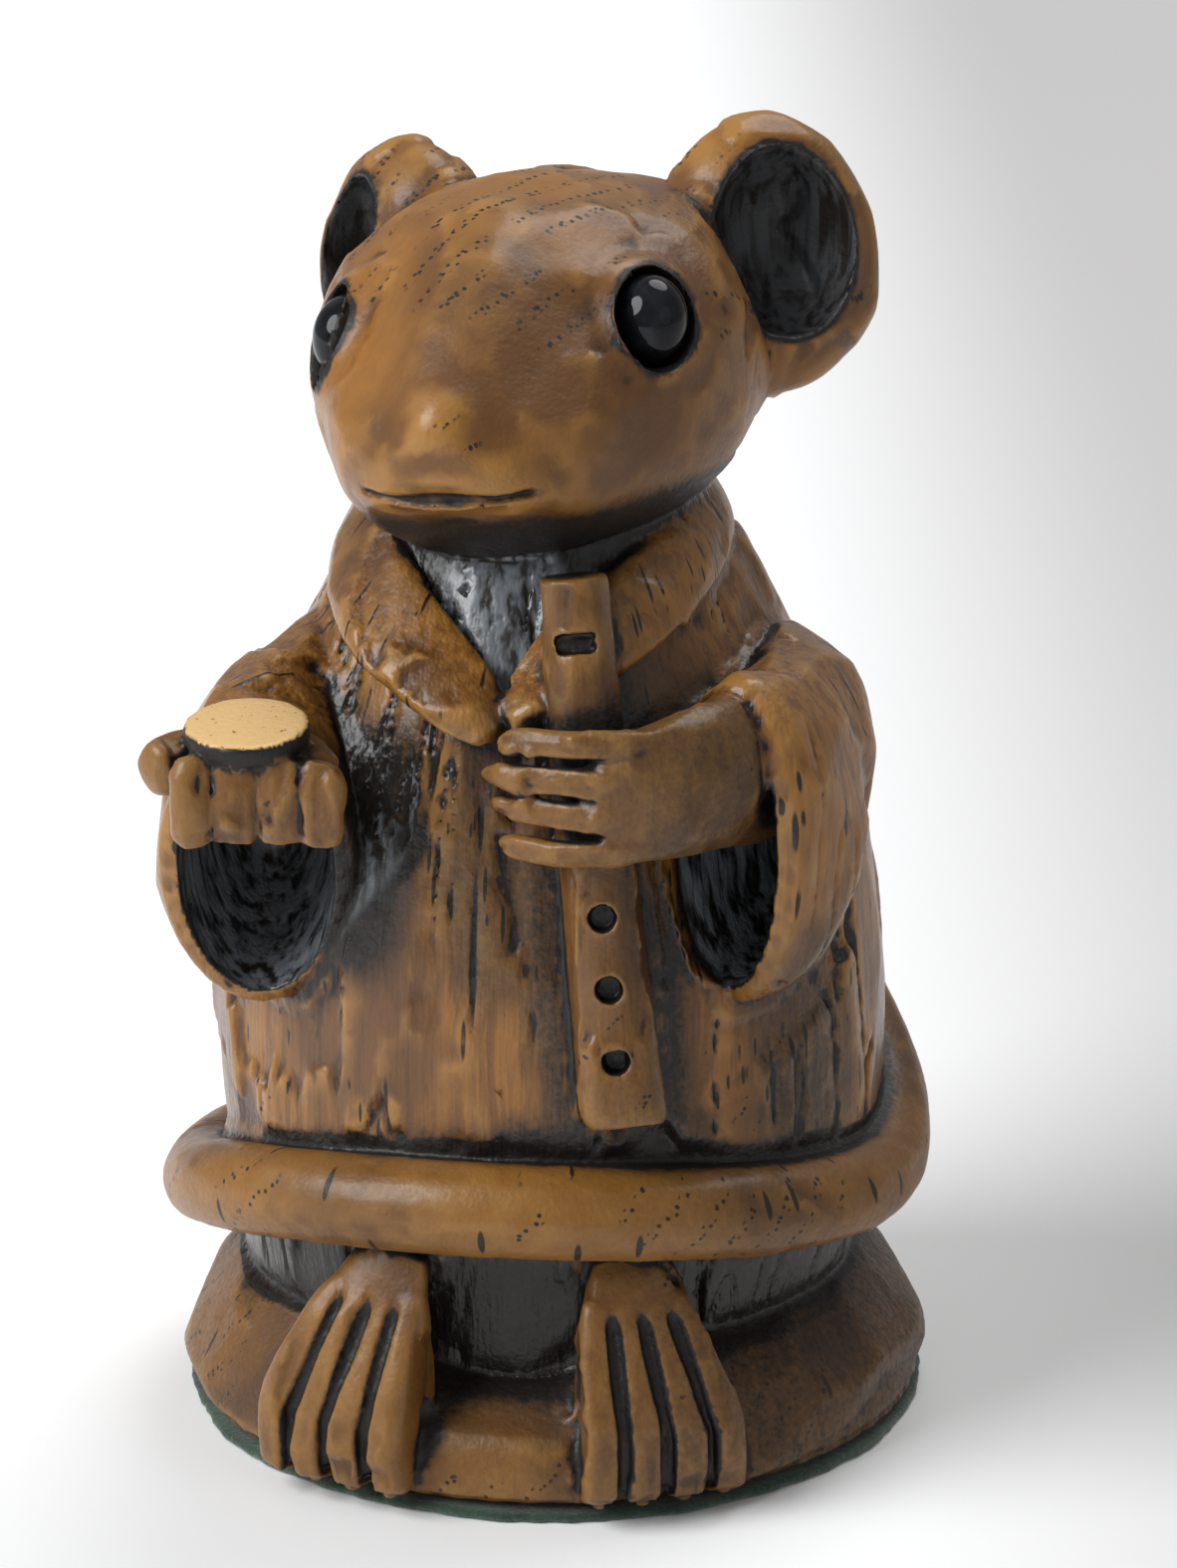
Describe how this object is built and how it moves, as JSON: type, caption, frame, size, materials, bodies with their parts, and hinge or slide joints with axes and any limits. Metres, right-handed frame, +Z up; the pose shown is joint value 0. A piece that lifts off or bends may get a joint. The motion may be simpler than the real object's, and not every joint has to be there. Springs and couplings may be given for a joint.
{
  "type": "mouse figurine",
  "caption": "Small standing figurine of a robed mouse that plays a whistle and holds out a coin, with its tail round its robe, cast as carved wood on a felt pad.",
  "frame": {"origin": "centre of the felt pad's underside", "axes": "+Z up; the mouse looks along -Y; +X is the mouse's left hand, which holds the whistle"},
  "size_m": [0.0477, 0.0506, 0.0791],
  "materials": {
    "casting": "caramel brown resin with a dark wash in the hollows and a soft gloss; the coin's top is gilt",
    "left_eye": "opaque glossy black bead",
    "right_eye": "opaque glossy black bead",
    "felt_pad": "dark green felt with a fuzzy edge"
  },
  "bodies": {
    "root": {"mouse_casting": "casting", "left_eye": "left_eye", "right_eye": "right_eye", "felt_pad": "felt_pad"}
  },
  "joints": []
}
